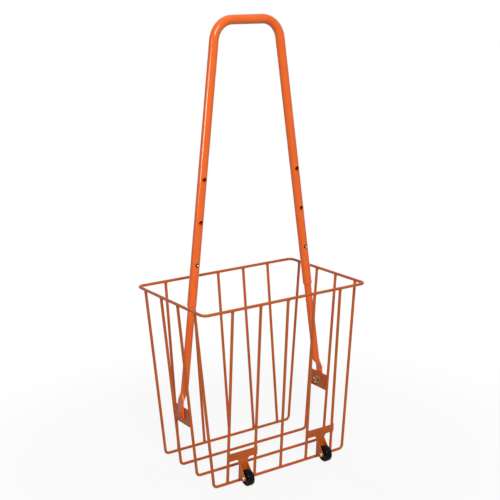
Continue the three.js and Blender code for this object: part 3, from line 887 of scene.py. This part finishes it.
def band_outline():
    """The band across two bars, with the web hung from it by two fillets, as (x, z)."""
    half = (middle("front_bar_2").x - middle("front_bar_1").x + WIRE / 2) / 2
    web, low, top = FLANGE_OUTSIDE - FOLD_RADIUS, BAND_BOTTOM, BAND_BOTTOM + BAND_HEIGHT
    fillet = arc(FLANGE_OUTSIDE + WEB_FILLET, low - WEB_FILLET, WEB_FILLET, 180, 90)
    end = [*arc(half - BAND_CORNER, low + BAND_CORNER, BAND_CORNER, -90, 0),
           *arc(half - BAND_CORNER, top - BAND_CORNER, BAND_CORNER, 0, 90)]
    right = [(web, low - WEB_FILLET - OVERRUN), *fillet, *end]
    left = other_side(right)
    return [left[-1], *right, *left[:-1]]


def bracket_channel(side_name, face, back):
    """The web with its flanges folded forwards, trimmed to its side outline and bored for the axle."""
    wheel_middle = middle(f"{side_name}_wheel")
    axle = face.inverted() @ wheel_middle
    top = BAND_BOTTOM + BAND_HEIGHT / 2
    height = top - FLANGE_BOTTOM + 2 * OVERRUN
    raised = Matrix.Translation(Vector((0, back, FLANGE_BOTTOM - OVERRUN + height / 2)))
    channel = plate(f"{side_name}_bracket", channel_outline(), [], height, face @ raised)
    outline = bracket_side(axle.y, axle.z, back, top)
    side_tool = plate("side_tool", outline, [], FLANGE_SPACING + 2 * CUT_REACH, face @ SIDEWAYS)
    return bored(combined(channel, side_tool, "INTERSECT"), AXLE, wheel_middle)


def wheel_bracket(side_name):
    node = f"{side_name}_wheel_bracket"
    face = face_place() @ Matrix.Translation(Vector((middle(node).x, 0, 0)))
    back = -WIRE / 2 - FIT
    channel = bracket_channel(side_name, face, back)
    upright = Matrix.Translation(Vector((0, back - SHEET / 2, 0))) @ quarter_turn("X")
    band = plate("band", band_outline(), [], SHEET - BAND_INSET, face @ upright)
    stands_for(with_soft_edges(combined(channel, band, "UNION")), node)
    band_welds(side_name, face, back)


def band_welds(side_name, face, back):
    """Short beads above and below the band, where it crosses its two bars."""
    spacing = middle("front_bar_2").x - middle("front_bar_1").x
    for end_name, end in SIDES:
        for level_name, z in (("low", BAND_BOTTOM), ("high", BAND_BOTTOM + BAND_HEIGHT)):
            centre = Vector((end * spacing / 2, back, z))
            start, stop = face @ (centre - X * WIRE / 2), face @ (centre + X * WIRE / 2)
            name = f"{side_name}_band_weld_{end_name}_{level_name}"
            rides(bead(name, start, stop, BAND_BEAD, z / BEAD_RIPPLE), "basket", "wire_paint")


def wheel(side_name):
    """A wheel with a hub, dished faces, round shoulders and a mould line round its tread."""
    node = f"{side_name}_wheel"
    low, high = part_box(node)
    radius, face = (high.z - low.z) / 2, (high.x - low.x) / 2
    bore, hub, rim_inside = AXLE / 2 + FIT, WHEEL_HUB / 2, radius - WHEEL_RIM
    floor = face - WHEEL_DISH
    half = [(bore, face - EDGE), (bore + EDGE, face), (hub - EDGE, face), (hub, face - EDGE),
            (hub, floor + EDGE), (hub + EDGE, floor), (rim_inside - EDGE, floor),
            (rim_inside, floor + EDGE), (rim_inside, face - EDGE), (rim_inside + EDGE, face),
            *arc(radius - WHEEL_SHOULDER, face - WHEEL_SHOULDER, WHEEL_SHOULDER, 90, 0),
            (radius - MOULD_LINE, MOULD_LINE_WIDTH), (radius, MOULD_LINE_WIDTH / 2)]
    profile = [*half, *other_end(half)]
    stands_for(turned(f"{side_name}_tyre", profile, middle(node), X, closed=True), node)


def axle_rivet(side_name):
    """A pin with a domed head outside each flange."""
    node = f"{side_name}_axle_rivet"
    low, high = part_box(node)
    seat = FLANGE_OUTSIDE + FIT
    half = [(AXLE / 2, seat), *dome(AXLE_HEAD / 2, seat, (high.x - low.x) / 2 - seat)]
    profile = [*other_end(half), *half]
    stands_for(turned(f"{side_name}_rivet", profile, middle(node), X), node)


# Camera, floor and light


def camera():
    data = bpy.data.cameras.new("camera")
    data.sensor_width = SENSOR_WIDTH
    data.lens = SENSOR_WIDTH * FOCAL_PIXELS / PHOTO_SIZE
    made = in_scene("camera", data)
    forward = Vector((-math.sin(CAMERA_YAW) * math.cos(CAMERA_PITCH),
                      math.cos(CAMERA_YAW) * math.cos(CAMERA_PITCH), math.sin(CAMERA_PITCH)))
    level = forward.cross(Z).normalized()
    upright = level.cross(forward)
    right = level * math.cos(CAMERA_ROLL) + upright * math.sin(CAMERA_ROLL)
    up = right.cross(forward)
    facing = Matrix((right, up, -forward)).transposed().to_4x4()
    made.matrix_world = Matrix.Translation(CAMERA_PLACE) @ facing
    bpy.context.scene.camera = made


def area_light(name, place, target, size, power):
    data = bpy.data.lights.new(name, "AREA")
    data.shape = "RECTANGLE"
    data.size, data.size_y = size
    data.energy = power
    made = in_scene(name, data)
    made.location = place
    made.rotation_euler = (Vector(target) - Vector(place)).to_track_quat("-Z", "Y").to_euler()
    return made


def any_of(tree, outputs):
    """One where any of some yes-or-no values is one."""
    total = outputs[0]
    for output in outputs[1:]:
        highest = tree.nodes.new("ShaderNodeMath")
        highest.operation = "MAXIMUM"
        tree.links.new(total, highest.inputs[0])
        tree.links.new(output, highest.inputs[1])
        total = highest.outputs["Value"]
    return total


def seen_rays(tree):
    """One on rays that show a surface: to the camera, or mirrored or through glass."""
    path = tree.nodes.new("ShaderNodeLightPath")
    rays = ("Is Camera Ray", "Is Glossy Ray", "Is Transmission Ray")
    return any_of(tree, [path.outputs[ray] for ray in rays])


def white_world():
    """White where it is seen or mirrored, and a plain soft light on the object."""
    world = bpy.data.worlds.new("studio")
    bpy.context.scene.world = world
    world.use_nodes = True
    tree = world.node_tree
    background = tree.nodes["Background"]
    background.inputs["Color"].default_value = (1, 1, 1, 1)
    strength = tree.nodes.new("ShaderNodeMapRange")
    strength.inputs["To Min"].default_value = WORLD_LIGHT
    strength.inputs["To Max"].default_value = 1.0
    tree.links.new(seen_rays(tree), strength.inputs["Value"])
    tree.links.new(strength.outputs["Result"], background.inputs["Strength"])


def floor_glow(tree):
    """How plainly white the floor is where it is seen: less near the object, wholly further off."""
    place = tree.nodes.new("ShaderNodeTexCoord")
    distance = tree.nodes.new("ShaderNodeVectorMath")
    distance.operation = "LENGTH"
    fade = tree.nodes.new("ShaderNodeMapRange")
    fade.interpolation_type = "SMOOTHSTEP"
    fade.inputs["From Min"].default_value = FLOOR_FADE_START
    fade.inputs["From Max"].default_value = FLOOR_FADE_END
    fade.inputs["To Min"].default_value = FLOOR_WHITE_SHARE
    seen = tree.nodes.new("ShaderNodeMath")
    seen.operation = "MULTIPLY"
    tree.links.new(place.outputs["Object"], distance.inputs[0])
    tree.links.new(distance.outputs["Value"], fade.inputs["Value"])
    tree.links.new(fade.outputs["Result"], seen.inputs[0])
    tree.links.new(seen_rays(tree), seen.inputs[1])
    return seen.outputs["Value"]


def floor_finish():
    """Pale and matt, to take the shadow, mixed with plain white, and darker in the light it bounces."""
    made, tree, shader = principled("floor", FLOOR_SPECULAR)
    shader.inputs["Roughness"].default_value = FLOOR_ROUGHNESS
    path = tree.nodes.new("ShaderNodeLightPath")
    tone = mixed(tree, path.outputs["Is Diffuse Ray"], FLOOR_COLOUR, FLOOR_BOUNCE)
    tree.links.new(tone, shader.inputs["Base Color"])
    white = tree.nodes.new("ShaderNodeEmission")
    mix = tree.nodes.new("ShaderNodeMixShader")
    tree.links.new(floor_glow(tree), mix.inputs["Fac"])
    tree.links.new(shader.outputs["BSDF"], mix.inputs[1])
    tree.links.new(white.outputs["Emission"], mix.inputs[2])
    tree.links.new(mix.outputs["Shader"], tree.nodes["Material Output"].inputs["Surface"])
    return made


def pale_floor():
    """A pale floor that takes the shadow near the object and is plain white further off."""
    half = FLOOR_SIZE / 2
    corners = [(-half, -half, 0), (half, -half, 0), (half, half, 0), (-half, half, 0)]
    floor = mesh_piece("floor", corners, [tuple(range(len(corners)))])
    floor.data.materials.append(floor_finish())


def studio():
    """A broad key above the camera, a far panel for the streak, two fills behind and a light overhead."""
    area_light("key", KEY_PLACE, KEY_TARGET, KEY_SIZE, KEY_POWER)
    panel = area_light("left_panel", PANEL_PLACE, PANEL_TARGET, PANEL_SIZE, PANEL_POWER)
    panel.visible_diffuse = False
    for place in FILL_PLACES:
        area_light("fill", place, FILL_TARGET, FILL_SIZE, FILL_POWER).visible_glossy = False
    area_light("overhead", OVERHEAD_PLACE, OVERHEAD_TARGET, OVERHEAD_SIZE, OVERHEAD_POWER)


camera()
rim()
hoops()
bars()
pivot_plates()
for side_name, side in SIDES:
    pivot_bolt(side_name, side)
    pivot_washer(side_name)
    pivot_nut(side_name)
    leg_tube(side_name, side)
    snap_button(side_name)
    leaf_spring(side_name, side)
    wheel_bracket(side_name)
    wheel(side_name)
    axle_rivet(side_name)
handle_tube()
white_world()
pale_floor()
studio()
bpy.context.scene.view_settings.view_transform = "Standard"
